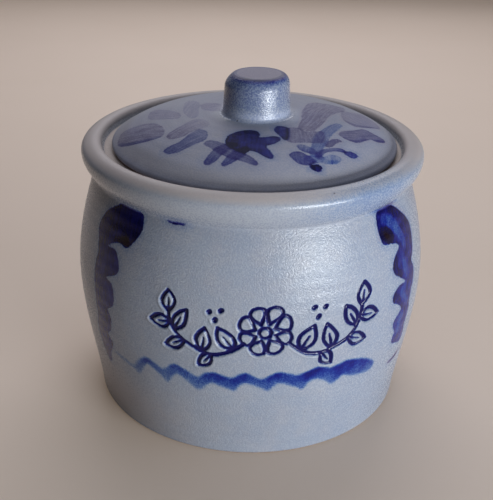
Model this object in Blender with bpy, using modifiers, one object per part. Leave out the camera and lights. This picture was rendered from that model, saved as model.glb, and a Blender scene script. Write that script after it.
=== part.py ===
"""Lidded stoneware cheese crock: a thrown jar with a rolled rim, and a domed lid with a knob.

Metres, +Z up. The origin is the centre of the base, on the surface that the crock stands on.
Every piece is turned on the wheel. Its profile is a list of (radius, height) points that starts
and ends on the axis and runs down the piece's outer side, and a Screw modifier spins it round.
"""

import math

import bpy

# Outside of the jar
BASE_RADIUS = 0.0848
BASE_FLARE = 0.107  # how far the wall leans out at the base, per unit of height
BELLY_RADIUS = 0.0942
BELLY_HEIGHT = 0.073
NECK_RADIUS = 0.0839
NECK_HEIGHT = 0.126  # the crease where the wall runs in under the rim
NECK_TAPER = 0.328  # how far the wall leans in at the neck, per unit of height
FOOT_ROUNDING = 0.0018

# Thickness of the clay and the hidden sides of the jar
WALL = 0.007
FLOOR = 0.008
INNER_CORNER = 0.010
RESTING_RING_WIDTH = 0.012
BASE_HOLLOW = 0.0012

# Rolled rim
RIM_OVERHANG = 0.0061  # how far the roll stands out from the neck
RIM_HEIGHT = 0.0175  # from the crease up to the crest
RIM_SHOULDER_DROP = 0.0055  # from the crest down to the widest point of the roll
RIM_WIDTH = 0.0117  # from the widest point in to the gallery
RIM_INNER_ROUNDING = 0.0037
RIM_UNDERCUT = 0.0050  # how far the roll stays upright below its widest point
RIM_CREASE_LEAN = 0.42  # near 0 tucks the roll in late, and near 1 makes it a cone

# Gallery: the ledge sunk inside the rim, on which the lid rests
GALLERY_DEPTH = 0.0057  # from the crest down to the ledge
GALLERY_DRAFT = 0.0007
GALLERY_CORNER = 0.0010
LEDGE_WIDTH = 0.0108
LEDGE_THICKNESS = 0.0045
LEDGE_COVE = 0.0060  # height of the cove that carries the ledge on the wall

# Lid
LID_SIDE_GAP = 0.0033
LID_OFF_CENTRE = 0.0010  # the lid lies a little to one side in the gallery
LID_EDGE_THICKNESS = 0.0040
LID_RISE = 0.0129  # how much higher the middle is than the edge is thick
LID_FULLNESS = 4  # 2 is a round dome, and more is flatter on top with steeper shoulders
LID_THICKNESS = 0.0065
LID_SEAT_WIDTH = 0.0065

# Knob
KNOB_RADIUS = 0.0176
KNOB_TAPER = 0.0010  # how much narrower the side is at the shoulder than at the foot
KNOB_HEIGHT = 0.0206
KNOB_TOP_RADIUS = 0.0130  # the flat top, out to its crisp edge
KNOB_SHOULDER_DROP = 0.0066  # from the flat top down to the straight side
KNOB_SHOULDER_START = 70  # degrees of arc from the side up to the flat's edge; 90 has no edge
KNOB_FILLET = 0.0020
KNOB_FOOT_EDGE = 0.0003
KNOB_OFF_CENTRE = 0.0007  # the knob was set a little to one side of the lid's middle
KNOB_SEAT_MARGIN = 0.0006  # flat of the lid that shows round the fillet

# Gap between two pieces that rest on each other
SEAT_GAP = 0.0003

# Fineness of the turned surfaces
JAR_STEPS = 60
LID_STEPS = 60
KNOB_STEPS = 36
SHARP_ANGLE = math.radians(35)
MERGE_DISTANCE = 0.00001

# Places worked out from the sizes above
RIM_RADIUS = NECK_RADIUS + RIM_OVERHANG
CREST_HEIGHT = NECK_HEIGHT + RIM_HEIGHT
GALLERY_RADIUS = RIM_RADIUS - RIM_WIDTH
CREST_RADIUS = GALLERY_RADIUS + GALLERY_DRAFT + RIM_INNER_ROUNDING
LEDGE_HEIGHT = CREST_HEIGHT - GALLERY_DEPTH
THROAT_RADIUS = GALLERY_RADIUS - LEDGE_WIDTH
LID_RADIUS = GALLERY_RADIUS - LID_SIDE_GAP
LID_HEIGHT = LID_EDGE_THICKNESS + LID_RISE
KNOB_SEAT_RADIUS = KNOB_RADIUS + KNOB_FILLET + KNOB_OFF_CENTRE + KNOB_SEAT_MARGIN


def spread(first, last, count):
    """Values from first to last in this many equal steps, both ends included."""
    return [first + (last - first) * i / count for i in range(count + 1)]


def blend(ends, t):
    """Cubic Bezier value at t, from its four control values."""
    a, b, c, d = ends
    s = 1 - t
    return a * s**3 + 3 * b * s * s * t + 3 * c * s * t * t + d * t**3


def curve(start, pull_start, pull_end, end, count):
    """Points of a cubic Bezier after its start."""
    radii, heights = zip(start, pull_start, pull_end, end)
    return [(blend(radii, t), blend(heights, t)) for t in spread(0, 1, count)[1:]]


def arc(centre, radius, height, start, end, count):
    """Points of an elliptical arc, both ends included, with its angles in degrees from +X."""
    angles = [math.radians(angle) for angle in spread(start, end, count)]
    return [
        (centre[0] + radius * math.cos(angle), centre[1] + height * math.sin(angle))
        for angle in angles
    ]


def outer_radius(height):
    """Outside of the jar's wall: two cubics that meet, upright, at the belly."""
    if height < BELLY_HEIGHT:
        lean = BASE_FLARE * BELLY_HEIGHT / 3
        ends = (BASE_RADIUS, BASE_RADIUS + lean, BELLY_RADIUS, BELLY_RADIUS)
        return blend(ends, height / BELLY_HEIGHT)
    span = NECK_HEIGHT - BELLY_HEIGHT
    lean = NECK_TAPER * span / 3
    ends = (BELLY_RADIUS, BELLY_RADIUS, NECK_RADIUS + lean, NECK_RADIUS)
    return blend(ends, min(1, (height - BELLY_HEIGHT) / span))


def jar_inside():
    """From the middle of the floor, up the wall and under the ledge to the ledge's top."""
    corner_top = FLOOR + INNER_CORNER
    corner_centre = (outer_radius(corner_top) - WALL - INNER_CORNER, corner_top)
    nose = LEDGE_THICKNESS / 2
    nose_centre = (THROAT_RADIUS + nose, LEDGE_HEIGHT - nose)
    cove_bottom = LEDGE_HEIGHT - LEDGE_THICKNESS - LEDGE_COVE
    cove_reach = outer_radius(cove_bottom) - WALL - nose_centre[0]
    wall_heights = spread(corner_top, cove_bottom, 9)[1:-1]
    return [
        (0, FLOOR),
        *arc(corner_centre, INNER_CORNER, INNER_CORNER, -90, 0, 4),
        *[(outer_radius(height) - WALL, height) for height in wall_heights],
        *arc((nose_centre[0], cove_bottom), cove_reach, LEDGE_COVE, 0, 90, 4)[:-1],
        *arc(nose_centre, nose, nose, 270, 90, 6),
    ]


def gallery():
    """The gallery's corner and wall, and the inner half of the roll up to the crest."""
    corner = (GALLERY_RADIUS - GALLERY_CORNER, LEDGE_HEIGHT + GALLERY_CORNER)
    roll = (CREST_RADIUS, CREST_HEIGHT - RIM_INNER_ROUNDING)
    return [
        *arc(corner, GALLERY_CORNER, GALLERY_CORNER, -90, 0, 3),
        *arc(roll, RIM_INNER_ROUNDING, RIM_INNER_ROUNDING, 180, 90, 5),
    ]


def roll_outside():
    """The outer half of the roll, from below the crest down to the crease at the neck."""
    widest = (RIM_RADIUS, CREST_HEIGHT - RIM_SHOULDER_DROP)
    undercut = (RIM_RADIUS, widest[1] - RIM_UNDERCUT)
    crease = (NECK_RADIUS, NECK_HEIGHT)
    lean = [low + (high - low) * RIM_CREASE_LEAN for low, high in zip(crease, undercut)]
    half_width = RIM_RADIUS - CREST_RADIUS
    return [
        *arc((CREST_RADIUS, widest[1]), half_width, RIM_SHOULDER_DROP, 90, 0, 7)[1:],
        *curve(widest, undercut, lean, crease, 6),
    ]


def jar_outside():
    """From below the crease, down the wall, round the foot and in to the middle of the base."""
    foot = (outer_radius(FOOT_ROUNDING) - FOOT_ROUNDING, FOOT_ROUNDING)
    ring_inside = foot[0] - RESTING_RING_WIDTH
    wall_heights = spread(NECK_HEIGHT, FOOT_ROUNDING, 13)[1:-1]
    return [
        *[(outer_radius(height), height) for height in wall_heights],
        *arc(foot, FOOT_ROUNDING, FOOT_ROUNDING, 0, -90, 3),
        (ring_inside, 0),
        (ring_inside - BASE_HOLLOW, BASE_HOLLOW),
        (0, BASE_HOLLOW),
    ]


def dome(foot_radius, foot_height, rise, radii):
    """Points of a low dome over these radii."""
    return [
        (radius, foot_height + rise * (1 - (radius / foot_radius) ** LID_FULLNESS))
        for radius in radii
    ]


def lid_profile():
    """From the knob's seat over the dome, round the edge, and in under the hollow.

    The edge's arc starts where it leans as the dome does, so the two meet without a crease.
    """
    edge = LID_EDGE_THICKNESS / 2
    hollow_radius = LID_RADIUS - LID_SEAT_WIDTH
    dome_lean = math.degrees(math.atan(LID_FULLNESS * LID_RISE / LID_RADIUS))
    round_edge = arc((LID_RADIUS - edge, edge), edge, edge, 90 - dome_lean, -90, 6)
    foot_radius, foot_height = round_edge[0]
    dome_radii = spread(KNOB_SEAT_RADIUS, foot_radius, 9)
    topside = dome(foot_radius, foot_height, LID_HEIGHT - foot_height, dome_radii)
    underside = dome(hollow_radius, 0, LID_HEIGHT - LID_THICKNESS, spread(hollow_radius, 0, 7))
    return [
        (0, LID_HEIGHT),
        (KNOB_SEAT_RADIUS, LID_HEIGHT),
        *topside[1:-1],
        *round_edge,
        *underside,
    ]


def knob_profile():
    """From the flat top over the shoulder and down the side to the fillet at the foot."""
    side_top = KNOB_RADIUS - KNOB_TAPER
    start = math.radians(KNOB_SHOULDER_START)
    width = (side_top - KNOB_TOP_RADIUS) / (1 - math.cos(start))
    drop = KNOB_SHOULDER_DROP / math.sin(start)
    shoulder = (side_top - width, KNOB_HEIGHT - KNOB_SHOULDER_DROP)
    fillet = (KNOB_RADIUS + KNOB_FILLET, KNOB_FOOT_EDGE + KNOB_FILLET)
    return [
        (0, KNOB_HEIGHT),
        *arc(shoulder, width, drop, KNOB_SHOULDER_START, 0, 6),
        *arc(fillet, KNOB_FILLET, KNOB_FILLET, 180, 270, 4),
        (fillet[0], 0),
        (0, 0),
    ]


def make_material(name, color, roughness):
    material = bpy.data.materials.new(name)
    material.use_nodes = True
    shader = material.node_tree.nodes["Principled BSDF"]
    shader.inputs["Base Color"].default_value = (*color, 1)
    shader.inputs["Roughness"].default_value = roughness
    shader.inputs["Metallic"].default_value = 0
    return material


def turn(name, profile, steps, material, collection):
    """Spin a profile into a closed piece, smooth except at its creases."""
    mesh = bpy.data.meshes.new(name)
    edges = [(i, i + 1) for i in range(len(profile) - 1)]
    mesh.from_pydata([(radius, 0, height) for radius, height in profile], edges, [])
    piece = bpy.data.objects.new(name, mesh)
    collection.objects.link(piece)

    screw = piece.modifiers.new("Turn", "SCREW")
    screw.steps = steps
    screw.render_steps = steps
    screw.use_merge_vertices = True
    screw.merge_threshold = MERGE_DISTANCE
    spun = piece.evaluated_get(bpy.context.evaluated_depsgraph_get())
    piece.data = bpy.data.meshes.new_from_object(spun)
    piece.modifiers.clear()
    bpy.data.meshes.remove(mesh)

    piece.data.name = name
    piece.data.shade_smooth()
    piece.data.set_sharp_from_angle(angle=SHARP_ANGLE)
    piece.data.materials.append(material)
    return piece


def make_jar(collection):
    profile = jar_inside() + gallery() + roll_outside() + jar_outside()
    glaze = make_material("jar_salt_glaze", (0.36, 0.41, 0.48), 0.35)
    return turn("crock_body", profile, JAR_STEPS, glaze, collection)


def make_lid(collection):
    """The lid, with its own origin under its middle, where it lifts straight up."""
    glaze = make_material("lid_salt_glaze", (0.31, 0.35, 0.41), 0.40)
    lid = turn("lid", lid_profile(), LID_STEPS, glaze, collection)
    lid.location = (LID_OFF_CENTRE, 0, LEDGE_HEIGHT + SEAT_GAP)
    return lid


def make_knob(collection, lid):
    """The knob, luted to the middle of the lid, with which it lifts."""
    glaze = make_material("knob_cobalt_glaze", (0.16, 0.23, 0.38), 0.30)
    knob = turn("lid_knob", knob_profile(), KNOB_STEPS, glaze, collection)
    knob.parent = lid
    knob.location = (KNOB_OFF_CENTRE, 0, LID_HEIGHT + SEAT_GAP)
    return knob


def clear_scene():
    for leftover in list(bpy.data.objects):
        bpy.data.objects.remove(leftover, do_unlink=True)


clear_scene()
crock = bpy.data.collections.new("Cheese crock")
bpy.context.scene.collection.children.link(crock)
make_jar(crock)
make_knob(crock, make_lid(crock))
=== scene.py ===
"""Looks of a lidded stoneware cheese crock: salt glaze, cobalt brushwork and an incised sprig.

Shapes and strokes are in millimetres, in the frame's axes. An azimuth is in degrees round the
jar from its decorated front, and grows towards +X. A mesh is made in metres.
"""

import math

import bpy
import numpy as np
from mathutils import Matrix, Vector


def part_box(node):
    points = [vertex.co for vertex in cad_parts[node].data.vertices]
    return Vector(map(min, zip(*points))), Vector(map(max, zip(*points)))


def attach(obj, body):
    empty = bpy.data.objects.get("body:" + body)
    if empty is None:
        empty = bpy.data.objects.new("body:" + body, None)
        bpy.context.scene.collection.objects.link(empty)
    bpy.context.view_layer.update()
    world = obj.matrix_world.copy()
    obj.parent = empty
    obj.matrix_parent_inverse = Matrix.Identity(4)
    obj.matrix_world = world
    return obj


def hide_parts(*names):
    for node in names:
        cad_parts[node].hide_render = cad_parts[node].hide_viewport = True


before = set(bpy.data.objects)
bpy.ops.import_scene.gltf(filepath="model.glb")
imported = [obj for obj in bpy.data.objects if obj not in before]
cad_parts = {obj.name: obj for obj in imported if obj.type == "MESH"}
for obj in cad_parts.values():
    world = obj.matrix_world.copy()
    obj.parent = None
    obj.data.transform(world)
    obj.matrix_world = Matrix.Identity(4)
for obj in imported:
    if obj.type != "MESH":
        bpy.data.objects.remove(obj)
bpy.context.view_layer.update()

MM = 0.001

# Outside of the jar, as in the frame
BASE_RADIUS, BASE_FLARE = 84.8, 0.107
BELLY_RADIUS, BELLY_HEIGHT = 94.2, 73.0
NECK_RADIUS, NECK_HEIGHT, NECK_TAPER = 83.9, 126.0, 0.328
FOOT_ROUNDING = 1.8
WALL, FLOOR, INNER_CORNER = 7.0, 8.0, 10.0
RESTING_RING, BASE_HOLLOW = 12.0, 1.2

# Rim and gallery
RIM_RADIUS, CREST_RADIUS = 90.0, 82.7
CREST_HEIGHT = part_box("crock_body")[1].z / MM
RIM_SHOULDER_DROP, RIM_INNER_ROUNDING = 5.5, 3.7
RIM_UNDERCUT, RIM_CREASE_LEAN = 5.0, 0.42
GALLERY_RADIUS, GALLERY_CORNER = 78.3, 1.0
LEDGE_HEIGHT, LEDGE_THICKNESS, LEDGE_COVE = CREST_HEIGHT - 5.7, 4.5, 6.0
THROAT_RADIUS = 67.5

# Lid and knob
LID_RADIUS, LID_EDGE, LID_FULLNESS = 75.0, 4.0, 4
LID_THICKNESS, LID_SEAT = 6.5, 6.5
LID_CENTRE = sum(corner.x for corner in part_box("lid")) / 2 / MM
LID_BOTTOM, LID_TOP = [corner.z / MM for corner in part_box("lid")]
KNOB_RADIUS, KNOB_TAPER, KNOB_TOP_RADIUS = 17.6, 1.0, 13.0
KNOB_SHOULDER_DROP, KNOB_SHOULDER_START = 6.6, 70
KNOB_FILLET, KNOB_SUNK, KNOB_TOP_SHIFT = 2.0, 0.2, 0.8
KNOB_CENTRE = sum(corner.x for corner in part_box("lid_knob")) / 2 / MM
KNOB_SEAT_RADIUS = KNOB_RADIUS + KNOB_FILLET + KNOB_CENTRE - LID_CENTRE + 0.6
KNOB_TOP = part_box("lid_knob")[1].z / MM
COLLAR = -0.12  # how far the lid lies from its outline where the knob's foot runs into it

# The hand-made surface lies this far inside the frame's, so that its high spots stay within it
SKIN, FRONT_SKIN = 0.18, 0.27

# Strokes on the wall lie on a flat chart, unrolled at this radius
CHART_RADIUS = 92.0

# A depth or a distance beyond the reach of every stroke
FAR = 50.0

# How far a stroke's outline wavers, how far outside it still counts, and its least load
WAVER, REACH, LEAST_LOAD = 0.35, 2, 0.02

# The least length and the least load that anything is divided by
TINY, LEAST_WEIGHT = 1e-6, 1e-3

# Depths, from outside to inside, between which pigment comes on: a stroke, a wash, a pool
STROKE_EDGE, WASH_EDGE, POOL_EDGE = (-1.1, 0.35), (-1.3, 1.0), (-0.6, 0.8)

# Offset in the bristle pattern from one stroke to the next
BRISTLE_STEP = 7.0

# Cobalt that drifted out of a stroke in the kiln: its share of the stroke's load, and its reach
HAZE_LOAD, HAZE_REACH = 0.16, 2.2

# Waves that throwing left: spacing and height, inside the jar, on its wall and on the lid
INSIDE_WAVES, WALL_WAVES, LID_WAVES = (9, 0.3), (6.5, 0.04), (7, 0.05)

# Shallow lines that a rib left low on the wall: heights, depth, half width, climb per radian
TURNING_LINES = (11, 22, 36.5)
TURNING_DEPTH, TURNING_HALF_WIDTH, TURNING_CLIMB = 0.1, 0.9, 0.4


def spread(first, last, step):
    """Values from first to last in equal steps of about this size, both ends included."""
    count = max(1, round(abs(last - first) / step))
    return [first + (last - first) * i / count for i in range(count + 1)]


def bezier(ends, t):
    a, b, c, d = ends
    s = 1 - t
    return a * s**3 + 3 * b * s * s * t + 3 * c * s * t * t + d * t**3


def arc(centre, radius, height, start, end, step):
    """Points of an elliptical arc between two angles in degrees, about this far apart."""
    turn = math.degrees(step / max(radius, height))
    angles = [math.radians(angle) for angle in spread(start, end, turn)]
    return [
        (centre[0] + radius * math.cos(angle), centre[1] + height * math.sin(angle))
        for angle in angles
    ]


def outer_radius(height):
    """Outside of the jar's wall: two cubics that meet, upright, at the belly."""
    if height < BELLY_HEIGHT:
        lean = BASE_FLARE * BELLY_HEIGHT / 3
        ends = (BASE_RADIUS, BASE_RADIUS + lean, BELLY_RADIUS, BELLY_RADIUS)
        return bezier(ends, height / BELLY_HEIGHT)
    span = NECK_HEIGHT - BELLY_HEIGHT
    lean = NECK_TAPER * span / 3
    ends = (BELLY_RADIUS, BELLY_RADIUS, NECK_RADIUS + lean, NECK_RADIUS)
    return bezier(ends, (height - BELLY_HEIGHT) / span)


def smoothstep(low, high, value):
    """A soft step from 0 at low to 1 at high."""
    t = np.clip((value - low) / (high - low), 0, 1)
    return t * t * (3 - 2 * t)


def bell(middle, half_width, value):
    """A smooth bump, 1 at its middle."""
    return np.exp(-(((value - middle) / half_width) ** 2))


def waves(spacing, size, place, phase):
    return np.sin(place * 2 * math.pi / spacing + phase) * size


# In these outlines, spread and arc end with how far apart the mesh's rings lie
def jar_inside():
    """From the middle of the floor, up the wall and under the ledge to the ledge's top."""
    corner_top = FLOOR + INNER_CORNER
    corner = (outer_radius(corner_top) - WALL - INNER_CORNER, corner_top)
    nose = LEDGE_THICKNESS / 2
    nose_centre = (THROAT_RADIUS + nose, LEDGE_HEIGHT - nose)
    cove_bottom = LEDGE_HEIGHT - LEDGE_THICKNESS - LEDGE_COVE
    cove_reach = outer_radius(cove_bottom) - WALL - nose_centre[0]
    wall_heights = spread(corner_top, cove_bottom, 1.7)[1:-1]
    return [
        *[(radius, FLOOR) for radius in spread(0, corner[0], 2.2)[:-1]],
        *arc(corner, INNER_CORNER, INNER_CORNER, -90, 0, 1.6),
        *[(outer_radius(height) - WALL, height) for height in wall_heights],
        *arc((nose_centre[0], cove_bottom), cove_reach, LEDGE_COVE, 0, 90, 1.0)[:-1],
        *arc(nose_centre, nose, nose, 270, 90, 0.6),
    ]


def rim():
    """The ledge's top, the gallery's corner and wall, and the roll down to the crease."""
    corner = (GALLERY_RADIUS - GALLERY_CORNER, LEDGE_HEIGHT + GALLERY_CORNER)
    inner_roll = (CREST_RADIUS, CREST_HEIGHT - RIM_INNER_ROUNDING)
    outer_roll = (CREST_RADIUS, CREST_HEIGHT - RIM_SHOULDER_DROP)
    roll_width = RIM_RADIUS - CREST_RADIUS
    widest = (RIM_RADIUS, outer_roll[1])
    undercut = (RIM_RADIUS, widest[1] - RIM_UNDERCUT)
    crease = (NECK_RADIUS, NECK_HEIGHT)
    lean = [low + (high - low) * RIM_CREASE_LEAN for low, high in zip(crease, undercut)]
    radii, heights = zip(widest, undercut, lean, crease)
    ledge = spread(THROAT_RADIUS + LEDGE_THICKNESS / 2, corner[0], 1.2)[1:-1]
    return [
        *[(radius, LEDGE_HEIGHT) for radius in ledge],
        *arc(corner, GALLERY_CORNER, GALLERY_CORNER, -90, 0, 0.3),
        *arc(inner_roll, RIM_INNER_ROUNDING, RIM_INNER_ROUNDING, 180, 90, 0.5),
        *arc(outer_roll, roll_width, RIM_SHOULDER_DROP, 90, 0, 0.6)[1:],
        *[(bezier(radii, t), bezier(heights, t)) for t in spread(0, 1, 0.04)[1:]],
    ]


def wall():
    """From below the crease to above the foot, with rows closest where the sprig is cut."""
    heights = [
        *spread(NECK_HEIGHT, SPRIG_TOP, 1.1)[1:],
        *spread(SPRIG_TOP, SPRIG_BOTTOM, 0.48)[1:],
        *spread(SPRIG_BOTTOM, FOOT_ROUNDING, 1.1)[1:-1],
    ]
    return [(outer_radius(height), height) for height in heights]


def foot():
    """The foot's rounding, the resting ring and the hollow of the base."""
    centre = (outer_radius(FOOT_ROUNDING) - FOOT_ROUNDING, FOOT_ROUNDING)
    ring_inside = centre[0] - RESTING_RING
    slope = [(BASE_HOLLOW * t, BASE_HOLLOW * smoothstep(0, 1, t)) for t in (0.33, 0.67, 1)]
    return [
        *arc(centre, FOOT_ROUNDING, FOOT_ROUNDING, 0, -90, 0.4),
        *[(radius, 0) for radius in spread(centre[0], ring_inside, 1.5)[1:]],
        *[(ring_inside - inward, height) for inward, height in slope],
        *[(radius, BASE_HOLLOW) for radius in spread(ring_inside - BASE_HOLLOW, 0, 3.5)[1:]],
    ]


def dome(foot_radius, foot_height, rise, radii):
    """The lid's low curve, flat in the middle and steepest at its foot."""
    falls = [(radius / foot_radius) ** LID_FULLNESS for radius in radii]
    return [(radius, foot_height + rise * (1 - fall)) for radius, fall in zip(radii, falls)]


def lid_round():
    """The edge's arc, from where it leans as the dome does down to the seat."""
    edge = LID_EDGE / 2
    lean = math.degrees(math.atan(LID_FULLNESS * (LID_TOP - LID_BOTTOM - LID_EDGE) / LID_RADIUS))
    return arc((LID_RADIUS - edge, LID_BOTTOM + edge), edge, edge, 90 - lean, -90, 0.45)


def lid_topside():
    """From under the knob over the dome to its foot at the edge."""
    foot_radius, foot_height = lid_round()[0]
    seat = [(radius, LID_TOP) for radius in spread(0, KNOB_SEAT_RADIUS, 1.6)]
    radii = spread(KNOB_SEAT_RADIUS, foot_radius, 0.8)[1:-1]
    return seat + dome(foot_radius, foot_height, LID_TOP - foot_height, radii)


def lid_edge():
    """Round the edge, in along the seat and under the hollow to the middle."""
    hollow = LID_RADIUS - LID_SEAT
    seat = spread(LID_RADIUS - LID_EDGE / 2, hollow, 1.2)[1:-1]
    return [
        *lid_round(),
        *[(radius, LID_BOTTOM) for radius in seat],
        *dome(hollow, LID_BOTTOM, LID_TOP - LID_THICKNESS - LID_BOTTOM, spread(hollow, 0, 1.8)),
    ]


def knob_outline():
    """From the middle of the flat top, over the shoulder and down the side to the foot."""
    side_top = KNOB_RADIUS - KNOB_TAPER
    start = math.radians(KNOB_SHOULDER_START)
    width = (side_top - KNOB_TOP_RADIUS) / (1 - math.cos(start))
    drop = KNOB_SHOULDER_DROP / math.sin(start)
    shoulder = (side_top - width, KNOB_TOP - KNOB_SHOULDER_DROP)
    fillet = (KNOB_RADIUS + KNOB_FILLET, LID_TOP - KNOB_SUNK + KNOB_FILLET)
    height = fillet[1] - shoulder[1]
    side = spread(0, 1, 0.04)[1:-1]
    return [
        *[(radius, KNOB_TOP) for radius in spread(0, KNOB_TOP_RADIUS, 0.6)[:-1]],
        *arc(shoulder, width, drop, KNOB_SHOULDER_START, 0, 0.4),
        *[(side_top + KNOB_TAPER * t, shoulder[1] + height * t) for t in side],
        *arc(fillet, KNOB_FILLET, KNOB_FILLET, 180, 270, 0.3),
        *[(radius, LID_TOP - KNOB_SUNK) for radius in spread(fillet[0], 0, 3.0)[1:]],
    ]


# Columns are whole tenths of a degree, so that a ring with few of them meets one with many.
# Out to its middle radius, the lid's top has half as many columns as further out.
TENTHS = 3600
SPARSE = np.arange(0, TENTHS, 30)
LID_COLUMNS = np.arange(0, TENTHS, 6)
LID_MIDDLE_RADIUS, LID_MIDDLE_COLUMNS = 40, np.arange(0, TENTHS, 12)
KNOB_COLUMNS = np.arange(0, TENTHS, 10)

# How far the sprig and the scrolls reach round the wall, and the columns' steps across each
SPRIG_RIGHT_COLUMN, SPRIG_LEFT_COLUMN, SCROLL_COLUMN = 420, 330, 690
SPRIG_STEP, SCROLL_STEP, SPARSE_STEP = 3, 6, 30
SPRIG_TOP, SPRIG_MIDDLE, SPRIG_BOTTOM = 97.0, 75.0, 53.0


def half_columns(sprig_column):
    """Columns of half the wall, closest across the sprig and sparse behind the scroll."""
    ends = [0, sprig_column, SCROLL_COLUMN, TENTHS // 2]
    steps = [SPRIG_STEP, SCROLL_STEP, SPARSE_STEP]
    return np.concatenate([np.arange(*span) for span in zip(ends, ends[1:], steps)])


def wall_columns():
    right, left = half_columns(SPRIG_RIGHT_COLUMN), half_columns(SPRIG_LEFT_COLUMN)
    return np.unique(np.concatenate([right, TENTHS - left[1:], [TENTHS // 2]]))


class Turned:
    """Points of a turned piece, ring by ring, with what the finish needs to know of each."""

    def __init__(self, bands, centre=0.0):
        outline = [(point, columns) for points, columns in bands for point in points]
        points = np.array([point for point, _ in outline])
        along = np.gradient(points, axis=0)
        along /= np.linalg.norm(along, axis=1)[:, None]
        self.columns = [columns if radius > 0 else columns[:1] for (radius, _), columns in outline]
        self.counts = [len(columns) for columns in self.columns]
        self.starts = np.concatenate([[0], np.cumsum(self.counts)])
        self.radius = np.repeat(points[:, 0], self.counts)
        self.height = np.repeat(points[:, 1], self.counts)
        self.out = np.repeat(-along[:, 1], self.counts)
        self.up = np.repeat(along[:, 0], self.counts)
        self.out[self.radius == 0] = 0
        ring_bands = np.repeat(np.arange(len(bands)), [len(rings) for rings, _ in bands])
        self.band = np.repeat(ring_bands, self.counts)
        tenths = np.concatenate(self.columns)
        self.azimuth = np.where(tenths > TENTHS // 2, tenths - TENTHS, tenths) / 10
        self.turn = np.radians(self.azimuth)
        self.lift = np.zeros(len(tenths))
        self.lean = np.zeros(len(tenths))
        self.centre = centre
        self.values = {}

    def places(self):
        """Points in millimetres, each moved along its normal by its lift."""
        radius = self.radius + self.out * self.lift
        height = self.height + self.up * self.lift
        x = self.centre + self.lean + radius * np.sin(self.turn)
        return np.stack([x, -radius * np.cos(self.turn), height], 1)

    def between(self, above, below):
        """Faces between two rings. If one has fewer columns, they are all among the other's."""
        upper = self.starts[above] + np.arange(self.counts[above])
        lower = self.starts[below] + np.arange(self.counts[below])
        if len(upper) == len(lower):
            return np.stack([upper, lower, np.roll(lower, -1), np.roll(upper, -1)], 1).tolist()
        if len(upper) == 1:
            return [[upper[0], a, b] for a, b in zip(lower, np.roll(lower, -1))]
        if len(lower) == 1:
            return [[lower[0], b, a] for a, b in zip(upper, np.roll(upper, -1))]
        shared = np.intersect1d(self.columns[above], self.columns[below])
        made = []
        for start, end in zip(shared, [*shared[1:], shared[0] + TENTHS]):
            top = self.stretch(above, start, end)
            bottom = self.stretch(below, start, end)
            made.append([*bottom, *reversed(top)])
        return made

    def stretch(self, ring, start, end):
        """Vertices of a ring from one column to another, both included."""
        columns = self.columns[ring]
        picked = np.flatnonzero((columns >= start) & (columns <= end)).tolist()
        if end >= TENTHS:
            picked.append(0)
        return [int(self.starts[ring]) + i for i in picked]

    def build(self, name, material, body, node):
        """Make the mesh object, which stands for its node and rides on that node's body."""
        mesh = bpy.data.meshes.new(name)
        rings = range(len(self.columns) - 1)
        faces = [face for ring in rings for face in self.between(ring, ring + 1)]
        mesh.from_pydata((self.places() * MM).tolist(), [], faces)
        mesh.shade_smooth()
        for value_name, values in self.values.items():
            kind, field = ("FLOAT", "value") if values.ndim == 1 else ("FLOAT_VECTOR", "vector")
            attribute = mesh.attributes.new(value_name, kind, "POINT")
            attribute.data.foreach_set(field, values.astype(np.float32).ravel())
        mesh.materials.append(material)
        piece = bpy.data.objects.new(name, mesh)
        bpy.context.scene.collection.objects.link(piece)
        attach(piece, body)
        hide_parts(node)


def smooth_path(knots, closed=False, steps=8):
    """Rows of values along a smooth curve through rows of knots."""
    knots = np.array(knots, float)
    if closed:
        ends = np.concatenate([knots[-1:], knots, knots[:2]])
    else:
        ends = np.concatenate([knots[:1], knots, knots[-1:]])
    spans = []
    t = (np.arange(steps) / steps)[:, None]
    for a, b, c, d in zip(ends, ends[1:], ends[2:], ends[3:]):
        bend = 2 * a - 5 * b + 4 * c - d
        twist = 3 * b - a - 3 * c + d
        spans.append(0.5 * (2 * b + (c - a) * t + bend * t**2 + twist * t**3))
    return np.concatenate([*spans, knots[:1] if closed else knots[-1:]])


def heading(angle):
    """Unit vectors ahead and to the left, at an angle in degrees."""
    turn = math.radians(angle)
    ahead = np.array([math.cos(turn), math.sin(turn)])
    return ahead, np.array([-ahead[1], ahead[0]])


def beside(points, start, end):
    """Of points by a segment: how far along it they are, from 0 to 1, offset and distance."""
    run = end - start
    t = np.clip((points - start) @ run / max(float(run @ run), TINY), 0, 1)
    away = points - start - t[:, None] * run
    return t, away, np.hypot(*away.T)


def raise_to(values, near, least):
    values[near] = np.maximum(values[near], least)


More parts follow.
